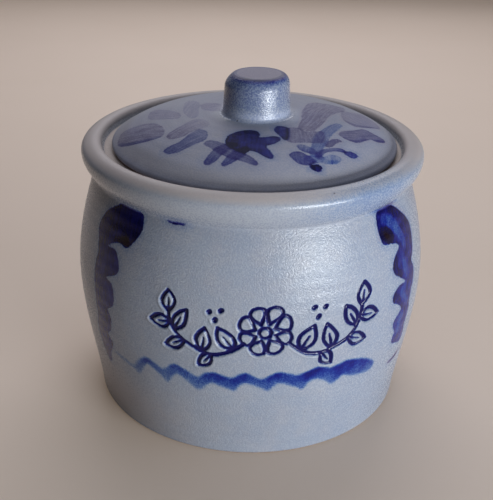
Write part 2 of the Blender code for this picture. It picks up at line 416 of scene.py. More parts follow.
class Painting:
    """Pigment and cuts on a surface, as values on the points of its flat chart.

    A knot of a stroke is (x, y, half width, load), and one of a filled shape is (x, y) on its
    outline. A pull is how much the load grows for each mm along x and y.
    """

    def __init__(self, chart):
        x, y = chart.T
        swing = [np.sin(y / 4.1 + 1) + np.sin(x / 2.9), np.sin(x / 3.7) + np.sin(y / 3.1 + 2)]
        self.chart = chart + WAVER * np.stack(swing, 1)
        count = len(chart)
        self.edge, self.cut = np.full((2, count), -FAR)
        self.load, self.violet, self.haze, self.iron_and_shade = np.zeros((4, count))
        self.groove, self.burr = np.zeros((2, count))
        self.grain = np.zeros((count, 3))
        self.strokes = 0

    def near(self, path, reach):
        """Points within reach of the box round a path."""
        low = path[:, :2].min(0) - reach
        high = path[:, :2].max(0) + reach
        return np.flatnonzero(((self.chart > low) & (self.chart < high)).all(1))

    def trace(self, path, near):
        """Where points lie on a path: depth inside it, load, place across and along, offset."""
        points = self.chart[near]
        depth = np.full(len(near), -FAR)
        load, across, along = np.zeros((3, len(near)))
        offset = np.zeros((len(near), 2))
        travelled = 0.0
        for start, end in zip(path, path[1:]):
            run = end[:2] - start[:2]
            length = float(np.hypot(*run))
            t, away, distance = beside(points, start[:2], end[:2])
            inside = start[2] + (end[2] - start[2]) * t - distance
            better = inside > depth
            side = np.sign(run[0] * away[:, 1] - run[1] * away[:, 0])
            depth[better] = inside[better]
            load[better] = (start[3] + (end[3] - start[3]) * t)[better]
            across[better] = (side * distance)[better]
            along[better] = (travelled + t * length)[better]
            offset[better] = away[better]
            travelled += length
        return depth, load, across, along, offset

    def fill(self, knots, load, pull):
        """Points near a closed outline, with each one's depth inside it and its load."""
        path = smooth_path(knots, closed=True, steps=5)
        near = self.near(path, REACH)
        points = self.chart[near]
        distance = np.full(len(near), FAR)
        inside = np.zeros(len(near), bool)
        for start, end in zip(path, path[1:]):
            run = end - start
            distance = np.minimum(distance, beside(points, start, end)[2])
            crosses = (start[1] > points[:, 1]) != (end[1] > points[:, 1])
            reach = start[0] + run[0] * (points[:, 1] - start[1]) / (run[1] if run[1] else 1)
            inside ^= crosses & (points[:, 0] < reach)
        depth = np.where(inside, distance, -distance)
        shade = load + (points - path.mean(0)) @ np.array(pull)
        return near, depth, np.clip(shade, LEAST_LOAD, None)

    def lay(self, near, depth, load, violet, across, along, outline=True):
        """Add one stroke's pigment, and take its outline into the painted shape."""
        self.strokes += 1
        cover = smoothstep(*STROKE_EDGE, depth)
        self.load[near] += cover * load
        self.violet[near] += cover * load * violet
        if outline:
            drift = HAZE_LOAD * np.abs(load) * np.exp(np.minimum(depth, 0) / HAZE_REACH)
            raise_to(self.haze, near, drift)
            better = depth > self.edge[near]
            chosen = near[better]
            self.edge[chosen] = depth[better]
            offset = np.full(len(near), BRISTLE_STEP * self.strokes)
            self.grain[chosen] = np.stack([across, along, offset], 1)[better]

    def brush(self, *knots, violet=0.0, outline=True):
        """A stroke, whose bristles run along it."""
        path = smooth_path(knots)
        near = self.near(path, path[:, 2].max() + REACH)
        depth, load, across, along, _ = self.trace(path, near)
        self.lay(near, depth, load, violet, across, along, outline)

    def tint(self, *knots, violet=0.0):
        """A stroke with no outline of its own: it only adds pigment or takes it away."""
        self.brush(*knots, violet=violet, outline=False)

    def blot(self, *knots, load, violet=0.0, pull=(0.0, 0.0), grain_angle=90.0):
        """A filled shape, whose bristles run at this angle."""
        near, depth, shade = self.fill(knots, load, pull)
        ahead, aside = heading(grain_angle)
        points = self.chart[near]
        self.lay(near, depth, shade, violet, points @ aside, points @ ahead)

    def wash(self, *knots, load, pull):
        """A filled shape of thin pigment with soft, grainy edges."""
        near, depth, shade = self.fill(knots, load, pull)
        raise_to(self.haze, near, smoothstep(*WASH_EDGE, depth) * shade)

    def pool(self, *knots):
        """Brown-black drops of iron in the glaze."""
        path = smooth_path(knots)
        near = self.near(path, path[:, 2].max() + REACH)
        depth, load, *_ = self.trace(path, near)
        raise_to(self.iron_and_shade, near, load * smoothstep(*POOL_EDGE, depth))

    def carve(self, points, share=1.0):
        """A groove through points. Its half width is a share of the usual, the same or one each."""
        half_widths = GROOVE_HALF_WIDTH * np.broadcast_to(share, len(points))
        path = smooth_path(np.column_stack([points, half_widths, np.ones(len(points))]))
        near = self.near(path, path[:, 2].max() + BURR_REACH)
        depth, *_, offset = self.trace(path, near)
        distance = np.maximum(np.hypot(*offset.T), TINY)
        width = depth + distance
        raise_to(self.groove, near, np.clip(1 - (distance / width) ** 2, 0, 1))
        side = smoothstep(-0.3, 0.9, offset @ np.array(BURR_SIDE) / distance)
        ridge = bell(-BURR_OFFSET, BURR_WIDTH, depth) * (BURR_LEAST + (1 - BURR_LEAST) * side)
        raise_to(self.burr, near, ridge)
        shifted = np.hypot(*(offset - np.array(FILL_SHIFT)).T)
        raise_to(self.cut, near, FILL_SHARE * width - shifted)

    def values(self):
        weight = np.maximum(np.abs(self.load), LEAST_WEIGHT)
        return {
            "stroke_edge": self.edge,
            "stroke_load": np.clip(self.load, 0, 1),
            "stroke_violet": np.clip(self.violet / weight, 0, 1),
            "stroke_grain": self.grain,
            "haze": self.haze,
            "iron_and_shade": self.iron_and_shade,
            "cut_edge": self.cut,
        }


# Sprig cut into the front: grooves, the cobalt in them, and the clay that the tool pushed up
GROOVE_DEPTH, GROOVE_HALF_WIDTH = 1.0, 1.3
FILL_SHARE, FILL_SHIFT = 0.85, (0.22, 0.22)
BURR_HEIGHT, BURR_OFFSET, BURR_WIDTH, BURR_REACH = 0.3, 0.5, 0.45, 4
BURR_SIDE, BURR_LEAST = (-0.6, -0.8), 0.25

# A rosette: its petals, each as (place from start to tip, share of the width), and its eye
ROSETTE_CENTRE = (8.0, 77.5)
PETALS, PETAL_START, PETAL_TIP, PETAL_WIDTH = 8, 4.6, 13.0, 7.2
HALF_PETAL = [(0, 0), (0.4, 0.38), (0.75, 0.5), (0.96, 0.26), (1, 0)]
ROSETTE_EYE = 2.6

# A stem on each side of it with leaves as (place on the stem, angle, length, width)
STEM = [(11, -7), (19, -13), (30, -14.5), (41, -9.5), (48, -1), (50, 6)]
LEAVES = [
    (0.16, 64, 15, 7.5),
    (0.34, -48, 10, 6),
    (0.46, 100, 15, 7.5),
    (0.60, -20, 12, 6.5),
    (0.74, 122, 13, 6.5),
    (0.86, -10, 11, 6.5),
    (1.0, 84, 12, 7.5),
]
BERRIES = [(25, 5.5), (28.5, 9.5), (22.5, 10.5)]
HALVES = ((1.0, 1.0), (-1.0, 0.94))

# A leaf's side as (place, share of the half width) and its midrib as (place, share of the groove)
LEAF_SIDE = [(0, 0), (0.25, 0.78), (0.5, 1), (0.78, 0.62), (1, 0)]
LEAF_RIB = [(0.05, 0.7), (0.35, 0.6), (0.62, 0.35)]

# Width of each kind of line, as a share of the usual groove
LEAF_LINE, ROSETTE_LINE, BERRY_LINE = 0.85, 0.8, 1.2


def carve_leaf(painting, base, angle, length, width):
    """Two bowed sides from the base to the tip, and a midrib."""
    ahead, aside = heading(angle)
    for side in (-0.5, 0.5):
        bow = [base + ahead * length * t + aside * side * width * bulge for t, bulge in LEAF_SIDE]
        painting.carve(bow, LEAF_LINE)
    rib = [base + ahead * length * t for t, _ in LEAF_RIB]
    painting.carve(rib, [share for _, share in LEAF_RIB])


def carve_rosette(painting, centre):
    """A ring of round-tipped petals about a pressed eye."""
    outline = [*HALF_PETAL, *[(t, -bulge) for t, bulge in reversed(HALF_PETAL[:-1])]]
    span = PETAL_TIP - PETAL_START
    for petal in range(PETALS):
        ahead, aside = heading(360 * (petal + 0.5) / PETALS)
        petal_outline = [
            centre + ahead * (PETAL_START + span * t) + aside * PETAL_WIDTH * bulge
            for t, bulge in outline
        ]
        painting.carve(petal_outline, ROSETTE_LINE)
    eye = [centre + ROSETTE_EYE * heading(angle)[0] for angle in range(0, 361, 40)]
    painting.carve(eye, ROSETTE_LINE)


def carve_sprig(painting):
    """The rosette, with a leafy stem and a few berries on either side."""
    centre = np.array(ROSETTE_CENTRE)
    carve_rosette(painting, centre)
    for side, size in HALVES:
        mirror = np.array([side * size, size])
        stem = smooth_path([centre + mirror * np.array(knot) for knot in STEM])
        painting.carve(stem[::4])
        for place, angle, length, width in LEAVES:
            base = stem[round(place * (len(stem) - 1))]
            turned = angle if side > 0 else 180 - angle
            carve_leaf(painting, base, turned, length * size, width * size)
        for berry in BERRIES:
            spot = centre + mirror * np.array(berry)
            painting.carve([spot, spot + 0.3], BERRY_LINE)


def on_chart(*knots):
    """Knots that start with an azimuth and a height, moved to the wall's flat chart."""
    return [(math.radians(azimuth) * CHART_RADIUS, *rest) for azimuth, *rest in knots]


LEFT_SCROLL = [
    (-42, 127), (-46.5, 126), (-50, 123.5), (-53.5, 121), (-56, 118), (-57.8, 113.5), (-58.3, 109),
    (-57, 104), (-56, 98), (-57, 92), (-57, 84), (-56.3, 76), (-56.3, 68), (-56, 62), (-57, 56),
    (-57.2, 49), (-56.5, 42), (-55, 38), (-52.5, 35), (-51.7, 41), (-49, 47.5), (-49.2, 51),
    (-50.5, 54.5), (-48.5, 58.5), (-48, 65), (-49.2, 70), (-46, 74), (-45.3, 80), (-46.8, 85),
    (-50, 87), (-46, 90.5), (-44.2, 93), (-44.2, 98.5), (-46.5, 102.7), (-50.5, 103),
    (-48.5, 105.3), (-44.5, 107.3), (-41.5, 106.8), (-39.8, 109.5), (-38, 114), (-36.6, 119),
    (-37, 124), (-38.5, 126),
]
RIGHT_SCROLL = [
    (45, 124), (47, 126.3), (50.5, 126.3), (54.5, 124), (59.5, 120), (63, 115), (65.2, 109),
    (65.3, 102), (64, 96), (62.6, 92.5), (64.2, 87.5), (64.5, 81.5), (62.8, 76), (62, 71),
    (62.2, 64), (61.5, 57), (62.2, 50), (61, 46), (57.5, 47), (53.5, 49.3), (53, 53), (53.5, 57),
    (51.7, 61.5), (52, 65), (55.5, 68.5), (53.5, 73), (50.5, 77), (50.3, 80.5), (53, 83.3),
    (57.8, 83.5), (54.5, 87), (51.2, 91), (50.1, 95.5), (51.5, 100), (54.7, 103.3), (54, 105.3),
    (50.5, 107.8), (47, 109.3), (45.5, 112.5), (44.5, 117.5), (44.4, 121),
]
WAVE_TOP = [
    (-48, 44.3), (-43, 44), (-39.5, 43.2), (-36.5, 47.5), (-33.5, 51), (-31, 51), (-27, 48.5),
    (-24, 52.5), (-22, 53.8), (-19, 51.5), (-15.5, 48.2), (-12.5, 52), (-9.5, 53.3), (-6.5, 51),
    (-4.5, 50.2), (-2, 53), (0, 54), (3, 51.5), (5, 50.5), (7.5, 53), (9.5, 54), (13.5, 52.3),
    (15.5, 51.2), (18.5, 53.2), (21.5, 54.5), (24.5, 53), (26.5, 51.7), (29, 53), (32, 54.2),
    (36.5, 52.5), (40, 49.5), (44, 45),
]
WAVE_BOTTOM = [
    (43.5, 42.2), (41, 41), (36.5, 42.5), (31, 45.5), (29.5, 44.2), (27, 42), (25, 44.5),
    (21.5, 47.3), (18.8, 46.5), (17, 43), (15, 44.5), (9.5, 47.3), (7.8, 45.8), (6, 43.8),
    (4, 45.8), (0, 48), (-2.5, 46.5), (-4.3, 42.8), (-6.5, 44.3), (-10.5, 47), (-12.5, 45.5),
    (-15.5, 41.5), (-18, 44), (-21.5, 48.2), (-24, 46), (-26, 42), (-28, 44.3), (-32, 48),
    (-34.3, 46), (-37.5, 39.8), (-39.5, 42), (-43.5, 42.8), (-48, 43.8),
]


def paint_wall(painting):
    """The scrolls at both sides, the wavy line between them and the small touches."""

    def brush(*knots, violet=0.0):
        painting.brush(*on_chart(*knots), violet=violet)

    def tint(*knots, violet=0.0):
        painting.tint(*on_chart(*knots), violet=violet)

    # Left scroll, with its darker head and the iron that gathered there
    painting.blot(*on_chart(*LEFT_SCROLL), load=0.62, violet=0.12, pull=(-0.0015, 0.0016))
    tint((-54, 104, 3, 0.04), (-54.5, 113, 4.5, 0.06), (-49, 119, 6, 0.1), (-41, 119, 6, 0.14),
         (-40, 112, 4, 0.16), violet=0.4)
    painting.pool(*on_chart(
        (-48.5, 107.5, 1.0, 0.7), (-45.5, 109, 2.0, 0.9), (-42, 110, 2.4, 0.9),
        (-40.8, 108.6, 1.2, 0.7),
    ))

    # Right scroll: a thin streak through its head, a dark border and a pool of iron
    painting.blot(*on_chart(*RIGHT_SCROLL), load=0.56, violet=0.2, pull=(0.001, 0.0024))
    tint((47, 123, 1.2, -0.1), (50.5, 119.5, 2.2, -0.24), (54, 114.5, 2.6, -0.28),
         (57.5, 107.5, 2.4, -0.24), (59, 102, 1.6, -0.1), violet=0.6)
    tint((45.3, 114, 1.5, 0.05), (45.3, 121, 1.6, 0.08), (48, 125, 2, 0.08),
         (54, 123.5, 2.2, 0.08), (59.5, 118.5, 2.4, 0.08), (63, 111, 2.2, 0.05),
         (64, 102, 1.8, 0.03), (63.3, 95, 1.3, 0.02), violet=1.6)
    tint((47, 116, 2.2, 0.3), (49, 113.2, 3, 0.45), (51, 109.8, 2.2, 0.35))
    painting.pool(*on_chart(
        (47.6, 115, 1.0, 0.7), (49.2, 112.6, 1.8, 0.85), (50.6, 110.4, 1.0, 0.7),
    ))

    # Its lower turns, thin in the middle and darker where the brush came round
    tint((56.5, 98, 1.8, -0.12), (57.5, 93, 2.4, -0.22), (58.5, 87.5, 1.8, -0.12), violet=0.7)
    tint((57.5, 82, 1.8, -0.12), (56, 78, 2.4, -0.2), (59.5, 71.5, 2, -0.1), violet=0.7)
    tint((57, 67, 1.6, -0.08), (55.8, 61.5, 2, -0.16), (56.5, 56, 1.6, -0.08), violet=0.7)
    tint((52, 99, 1.4, 0.1), (51.5, 93.5, 1.6, 0.14), (55, 89, 1.8, 0.16), violet=0.8)
    tint((51.5, 79.5, 1.6, 0.14), (54.5, 75, 1.8, 0.14), (58.5, 68, 1.6, 0.1), violet=0.8)
    tint((57.5, 52, 2.2, 0.12), (54, 50, 1.2, 0.05), violet=1.0)

    # The dash under it, the wavy line, and the touch in the crease of the neck
    brush((64.6, 38.5, 0.5, 0.3), (62, 37.2, 1.0, 0.45), (58.5, 36, 0.9, 0.45),
          (55, 35.6, 0.7, 0.36), violet=0.9)
    painting.wash(*on_chart(*WAVE_TOP, *WAVE_BOTTOM), load=0.46, pull=(0.0014, 0.032))
    brush((-28.5, 125.8, 0.5, 0.5), (-24.5, 125.4, 0.9, 0.7), (-19.8, 125.1, 0.6, 0.55), violet=0.5)


def paint_lid(painting):
    """A loose wreath of brushed leaves, darkest in front of the knob and faint behind it."""
    blot, brush, tint = painting.blot, painting.brush, painting.tint

    # Three leaves at the left front
    blot((-70, -13.5), (-69, -7.5), (-62.5, -7), (-53.5, -10.5), (-47, -17.5), (-45, -25),
         (-46.5, -30.5), (-52, -32), (-59.5, -30), (-66.5, -25), (-69.5, -19), load=0.15,
         violet=1.0, pull=(0, -0.003), grain_angle=-20)
    tint((-68, -21, 0.8, 0.1), (-63.5, -26.5, 1.2, 0.16), (-57, -30, 1.3, 0.2),
         (-47.5, -30.5, 0.9, 0.14), violet=0.6)
    blot((-44, -31), (-42, -26), (-37, -19.5), (-31.5, -13), (-27, -13), (-23.5, -17.5),
         (-24.5, -24), (-31, -29.5), (-36, -34), (-42, -34.3), load=0.14, violet=1.0,
         pull=(-0.006, -0.004), grain_angle=45)
    blot((-44, -43), (-41.5, -40.3), (-36.5, -37.5), (-31, -30.5), (-27, -27), (-24, -30.5),
         (-24.3, -38), (-28.5, -43), (-35.5, -47.5), (-42, -46.8), load=0.28, violet=0.6,
         pull=(-0.006, -0.003), grain_angle=40)

    # The star in front: three thin legs, then its dark body and the streaks in it
    brush((-22, -42.5, 3, 0.25), (-18, -45.5, 3.8, 0.26), (-13, -50.5, 3.6, 0.27),
          (-8.5, -54.5, 3, 0.27), (-3.5, -57.5, 2.5, 0.28), (0, -59.7, 1.6, 0.38), violet=0.75)
    brush((-22.5, -57.8, 1.8, 0.42), (-19.5, -54.5, 2.8, 0.32), (-15.5, -49.5, 3.2, 0.28),
          (-11, -45.5, 2.6, 0.24), violet=0.65)
    brush((-14, -59.6, 1.6, 0.42), (-11.3, -57.3, 2.4, 0.3), (-7.5, -53.5, 2.6, 0.28),
          (-4.5, -50, 2.2, 0.3), violet=0.6)
    blot((-14, -39.5), (-12.5, -34.5), (-8, -30.5), (-2.5, -28.5), (1, -30), (2.3, -34), (2, -37),
         (7.5, -35.5), (10.5, -35.5), (11.7, -39), (9.5, -43.3), (6.2, -46), (8, -51), (9, -54.8),
         (7, -56), (1.5, -52.5), (-2, -51.5), (-5, -53.3), (-10, -49.5), (-13, -44.5), load=0.6,
         violet=0.25)
    tint((-11.5, -38, 2.6, 0.14), (-11, -42, 2.8, 0.18), (-8.5, -46.5, 1.8, 0.12))
    tint((-10, -34.5, 2, 0.12), (-5, -31.5, 2, 0.16), (0.5, -32.5, 2, 0.16))
    tint((3.5, -41.5, 1.6, -0.08), (7.5, -40, 2.2, -0.14), (10, -38.5, 1.5, -0.08))

    # The dark dab at the knob's foot and the thin leaf that runs out of it
    blot((10, -24), (11.7, -20.7), (16.5, -23.3), (16.3, -31), (15, -38.5), (13.3, -38.5),
         (10.8, -33), (9.5, -28), load=0.6, violet=0.3)
    tint((13.6, -24.5, 1.2, -0.12), (14.3, -31, 1.2, -0.1))
    blot((16, -24.5), (22.5, -22.5), (25.5, -27), (33.5, -24.5), (33, -36), (27, -38.5),
         (15.5, -40.5), load=0.2, violet=0.9)

    # The fan at the right front, the broad leaf behind it and the leaf beside it
    brush((29, -49, 2.4, 0.14), (30, -42, 2.8, 0.2), (32, -34, 3.4, 0.19), (35.5, -26, 3.6, 0.2),
          (39, -19, 3.2, 0.2), (42.5, -13, 2, 0.16), violet=0.3)
    blot((22.4, -23), (24, -7), (25.5, 7), (27.5, 19.5), (32.5, 24.5), (38, 24.5), (48.5, 23),
         (44, 8), (39, -0.5), (35.5, -9.5), (32, -19), (28.5, -25.5), load=0.16, violet=1.0,
         pull=(0, -0.001), grain_angle=70)
    blot((42.5, -26), (43.7, -21), (49.5, -15.3), (56.5, -9.5), (61.5, -11.8), (66, -12.5),
         (66, -16), (62.5, -19.7), (59, -20), (55.5, -24), (49.5, -29.8), (45, -29), load=0.24,
         violet=0.9, grain_angle=40)
    tint((45, -28.5, 0.8, 0.06), (50, -29, 1, 0.14), (56, -22.8, 1, 0.14),
         (61.5, -19.3, 0.9, 0.14), (65.5, -15, 0.9, 0.12), violet=0.7)
    blot((34, -40), (34.5, -37), (37.5, -33.3), (41, -31.5), (43, -32.8), (40, -35.8),
         (37.5, -39.5), (35.5, -40.7), load=0.3, violet=0.9)

    # The stalk under the fan, with its bud and the small leaves round its knot
    brush((30.3, -51, 1.2, 0.28), (31.5, -47.5, 1.4, 0.32), (34, -44.5, 1.5, 0.33),
          (38, -42.3, 1.5, 0.3), (42.5, -41, 1.6, 0.34), violet=0.6)
    blot((43.5, -43), (44, -40.8), (47, -39.3), (49.7, -40.5), (49, -43), (46.5, -44.8), load=0.4,
         violet=0.4)
    blot((16.3, -53.3), (18.5, -50.5), (22, -49.3), (25.5, -51), (28.8, -54), (26, -57),
         (21.5, -58), (18, -55.8), load=0.36, violet=0.6)
    blot((20.5, -43.5), (22.5, -41.8), (26, -43), (29, -45.5), (29, -49), (24, -48.7),
         (21.3, -46.3), load=0.24, violet=0.5, pull=(0, -0.02))
    blot((26, -57.5), (29, -55.8), (31.3, -57), (30, -59.7), (26.8, -59.5), load=0.7, violet=0.4)
    brush((26, -53, 1.5, 0.1), (29, -52.5, 2.4, 0.16), (32, -51, 1.4, 0.1), violet=0.2)
    blot((32, -51.5), (34, -48.8), (38, -46.8), (41.5, -47.3), (42, -50), (39.5, -53), (35, -54.3),
         (32, -54.3), load=0.13, violet=0.3)
    tint((34, -53.3, 0.7, 0.1), (37, -52.8, 1, 0.16), (40.5, -51.5, 0.7, 0.1))

    # Faint leaves at the right, at the left and behind the knob
    blot((46, 13.5), (51, 17.5), (58.5, 22), (63.5, 16), (66.5, 4), (60, -4), (54, -8.5), (49, -9),
         (46, -1.5), load=0.11, violet=1.0, grain_angle=-35)
    tint((45.5, -3, 0.6, 0.06), (50, -6.5, 1.1, 0.14), (56.5, -5.5, 1.1, 0.14), (65, 1, 0.7, 0.1),
         violet=0.8)
    blot((-56, -1), (-56.5, 13), (-51, 11.5), (-45.5, 6.5), (-39.5, -0.5), (-40, -8.5), (-50, -7),
         load=0.09, violet=1.0, grain_angle=-35)
    blot((-39, 17), (-36, 24), (-31, 19), (-29.5, 7), (-29.5, -7), (-33.5, -10), (-37.5, 1),
         load=0.07, violet=0.9, grain_angle=80)
    blot((-29, 13.5), (-23.5, 16.5), (-18.5, 12.5), (-18, 3), (-24, 2), (-28, 5), load=0.09,
         violet=1.0, grain_angle=20)
    for angle in (78, 96):
        ahead, aside = heading(angle)
        start = ahead * 34 + aside * 5
        bend = ahead * 47 - aside * 1.5
        tip = ahead * 61 - aside * 7
        brush((*start, 1.5, 0.14), (*bend, 4.6, 0.18), (*tip, 1.4, 0.14), violet=0.8)


class Nodes:
    """Short names for a material's nodes. Each call makes one and returns its output."""

    def __init__(self, name):
        self.material = bpy.data.materials.new(name)
        self.material.use_nodes = True
        self.tree = self.material.node_tree
        self.tree.nodes.clear()

    def add(self, kind, inputs=(), **settings):
        node = self.tree.nodes.new(kind)
        for key, value in settings.items():
            setattr(node, key, value)
        for key, value in dict(inputs).items():
            if isinstance(value, bpy.types.NodeSocket):
                self.tree.links.new(value, node.inputs[key])
            else:
                node.inputs[key].default_value = value
        return node

    def math(self, operation, a, b, clamp=False):
        settings = {"operation": operation, "use_clamp": clamp}
        return self.add("ShaderNodeMath", {0: a, 1: b}, **settings).outputs[0]

    def product(self, first, *others):
        for other in others:
            first = self.math("MULTIPLY", first, other)
        return first

    def total(self, first, *others):
        for other in others:
            first = self.math("ADD", first, other)
        return first

    def range(self, value, low, high, to_low=0.0, to_high=1.0):
        """Softly from to_low at low to to_high at high."""
        inputs = {"Value": value, "From Min": low, "From Max": high}
        inputs |= {"To Min": to_low, "To Max": to_high}
        node = self.add("ShaderNodeMapRange", inputs, interpolation_type="SMOOTHSTEP")
        return node.outputs["Result"]

    def vary(self, pattern, to_low=0.0, to_high=1.0):
        return self.range(pattern, *NOISE_SPAN, to_low, to_high)

    def fade(self, share, at_none, at_all):
        return self.range(share, 0.0, 1.0, at_none, at_all)

    def mix(self, factor, a, b, blend="MIX"):
        """A mix of two colours, each a socket or a plain (red, green, blue)."""
        a, b = [(*color, 1) if isinstance(color, tuple) else color for color in (a, b)]
        settings = {"data_type": "RGBA", "blend_type": blend}
        return self.add("ShaderNodeMix", {0: factor, 6: a, 7: b}, **settings).outputs[2]

    def noise(self, place, size, detail, roughness=0.5):
        inputs = {"Vector": place, "Scale": 1 / size, "Detail": detail, "Roughness": roughness}
        return self.add("ShaderNodeTexNoise", inputs).outputs["Fac"]

    def attribute(self, name, output="Fac"):
        return self.add("ShaderNodeAttribute", attribute_name=name).outputs[output]

    def ramp(self, factor, stops):
        node = self.add("ShaderNodeValToRGB", {0: factor})
        elements = node.color_ramp.elements
        elements[0].position, elements[0].color = stops[0][0], (*stops[0][1], 1)
        elements[1].position, elements[1].color = stops[-1][0], (*stops[-1][1], 1)
        for place, color in stops[1:-1]:
            elements.new(place).color = (*color, 1)
        return node.outputs["Color"]


def linear(*srgb):
    """A colour given as it shows on a screen, 0 to 255, in the shader's linear values."""
    shares = [channel / 255 for channel in srgb]
    return tuple(s / 12.92 if s <= 0.04045 else ((s + 0.055) / 1.055) ** 2.4 for s in shares)


# Share of light that passes the pigment, by its load
COBALT = [
    (0.0, (1, 1, 1)), (0.1, (0.62, 0.74, 0.93)), (0.25, (0.26, 0.42, 0.78)),
    (0.38, (0.11, 0.235, 0.68)), (0.5, (0.032, 0.095, 0.55)), (0.62, (0.014, 0.03, 0.43)),
    (0.76, (0.01, 0.015, 0.24)), (0.9, (0.006, 0.008, 0.13)), (1.0, (0.004, 0.006, 0.08)),
]
VIOLET = [
    (0.0, (1, 1, 1)), (0.1, (0.78, 0.76, 0.86)), (0.25, (0.46, 0.43, 0.60)),
    (0.38, (0.30, 0.28, 0.47)), (0.5, (0.17, 0.145, 0.38)), (0.62, (0.075, 0.055, 0.30)),
    (0.76, (0.025, 0.018, 0.19)), (0.9, (0.01, 0.008, 0.11)), (1.0, (0.007, 0.006, 0.07)),
]

# Where a noise's values mostly lie
NOISE_SPAN = (0.3, 0.7)

# Sizes in metres of the glaze's relief and tones, the pigment's frays and patches, bare clay's
# grain and the cells that may hold a speck
PIT, DIMPLE, CLOUD, DRIFT = 0.78 * MM, 2.4 * MM, 35 * MM, 11 * MM
FRAY, PATCH, CLAY_GRAIN, SPECK_CELL = 1.6 * MM, 4.5 * MM, 0.7 * MM, 7.5 * MM

# Grain of the glazed clay, from its pits to the ridges between them, as shares of its colour
PIT_TONE, RIDGE_TONE = (0.91, 0.925, 0.96), (1.07, 1.06, 1.04)

# Dark specks: share of the cells without one, edge as a share of a cell, strength
SPECKLESS, SPECK_EDGE, SPECK_STRENGTH = 0.86, (0.045, 0.075), 0.75

# Colours of specks, of iron, which also lays painted shade on the lid's edge, and of bare clay, and
# the brightness of the clay's hollows
SPECK, IRON_AND_SHADE, BARE_CLAY = linear(74, 60, 52), linear(22, 9, 8), linear(182, 165, 154)
CLAY_HOLLOWS = 0.82

# Streaks that the bristles leave: much finer across a stroke than along it
BRISTLE_SCALE = (0.85, 0.07, 1.0)

# The cobalt in the cuts: its load, and how violet it is
CUT_LOAD, CUT_VIOLET = 0.8, 0.55

# Roughness of thin, pale glaze and of the coat, and what iron, crests, bare clay, pits and
# ridges add to the glaze's own
PALE_ROUGHNESS, COAT_ROUGHNESS = 0.27, 0.25
IRON_ROUGHNESS, CREST_ROUGHNESS, BARE_ROUGHNESS = -0.12, 0.2, 0.4
PIT_ROUGHNESS, RIDGE_ROUGHNESS = -0.05, 0.07


def clay_tone(nodes, place, pits, drift, body, shade, pale, warm):
    """The glazed clay's colour before any brushwork, with its grain and its specks."""
    warm_part = nodes.attribute("warm")
    tone = nodes.mix(nodes.vary(nodes.noise(place, CLOUD, 2.0, 0.55)), body, shade)
    tone = nodes.mix(nodes.range(drift, 0.35, 0.75, 0.0, 0.15), tone, warm)
    # Pale glaze, which on the lid's far side is a painted sheen
    tone = nodes.mix(nodes.attribute("pale"), tone, pale)
    # Warm crests, and low on the wall's left a warm tone that is partly painted bounce light
    tone = nodes.mix(warm_part, tone, warm)
    grain = nodes.mix(nodes.vary(pits), PIT_TONE, RIDGE_TONE)
    tone = nodes.mix(nodes.fade(warm_part, 1.0, 0.35), tone, grain, "MULTIPLY")
    cells = nodes.add("ShaderNodeTexVoronoi", {"Vector": place, "Scale": 1 / SPECK_CELL}).outputs
    chance = nodes.add("ShaderNodeSeparateColor", {0: cells["Color"]}).outputs[0]
    speck = nodes.range(cells["Distance"], *SPECK_EDGE, 1.0, 0.0)
    speck = nodes.product(speck, nodes.math("GREATER_THAN", chance, SPECKLESS), SPECK_STRENGTH)
    return nodes.mix(speck, tone, SPECK)


def brushed_load(nodes, place, pits, drift, speckle):
    """The pigment's load from strokes, haze and cuts, up to 1, and how far a spot is in a cut."""
    fray = nodes.product(nodes.total(nodes.noise(place, FRAY, 3.0, 0.6), -0.5), 1.5)
    edge = nodes.total(nodes.attribute("stroke_edge"), fray)
    inside = nodes.range(edge, -0.45, 0.35)
    gather = nodes.range(edge, 0.2, 1.5, 1.2, 1.0)

    laid = nodes.attribute("stroke_load")
    grain = {"Vector": nodes.attribute("stroke_grain", "Vector"), "Scale": BRISTLE_SCALE}
    grain = nodes.add("ShaderNodeMapping", grain).outputs[0]
    streaks = nodes.vary(nodes.noise(grain, 1.0, 3.0, 0.6), -1.0, 1.0)
    dryness = nodes.range(laid, 0.1, 0.45, 0.45, 0.13)
    bristles = nodes.total(1.0, nodes.product(streaks, dryness))
    patch = nodes.vary(nodes.noise(place, PATCH, 2.0), 0.88, 1.12)
    load = nodes.product(laid, inside, bristles, gather, patch)
    # Haze is cobalt drift, and in places painted bluish light
    haze = nodes.product(nodes.attribute("haze"), nodes.vary(drift, 0.75, 1.2))
    load = nodes.total(load, haze)

    thin = nodes.math("SUBTRACT", 1.0, load, clamp=True)
    freckles = nodes.product(nodes.vary(pits, speckle, -speckle), thin, thin)
    load = nodes.product(load, nodes.total(1.0, freckles))
    cut_edge = nodes.total(nodes.attribute("cut_edge"), nodes.product(fray, 0.5))
    cut = nodes.range(cut_edge, -0.35, 0.3)
    load = nodes.math("MAXIMUM", load, nodes.product(cut, CUT_LOAD))
    return nodes.math("MINIMUM", load, 1.0), cut


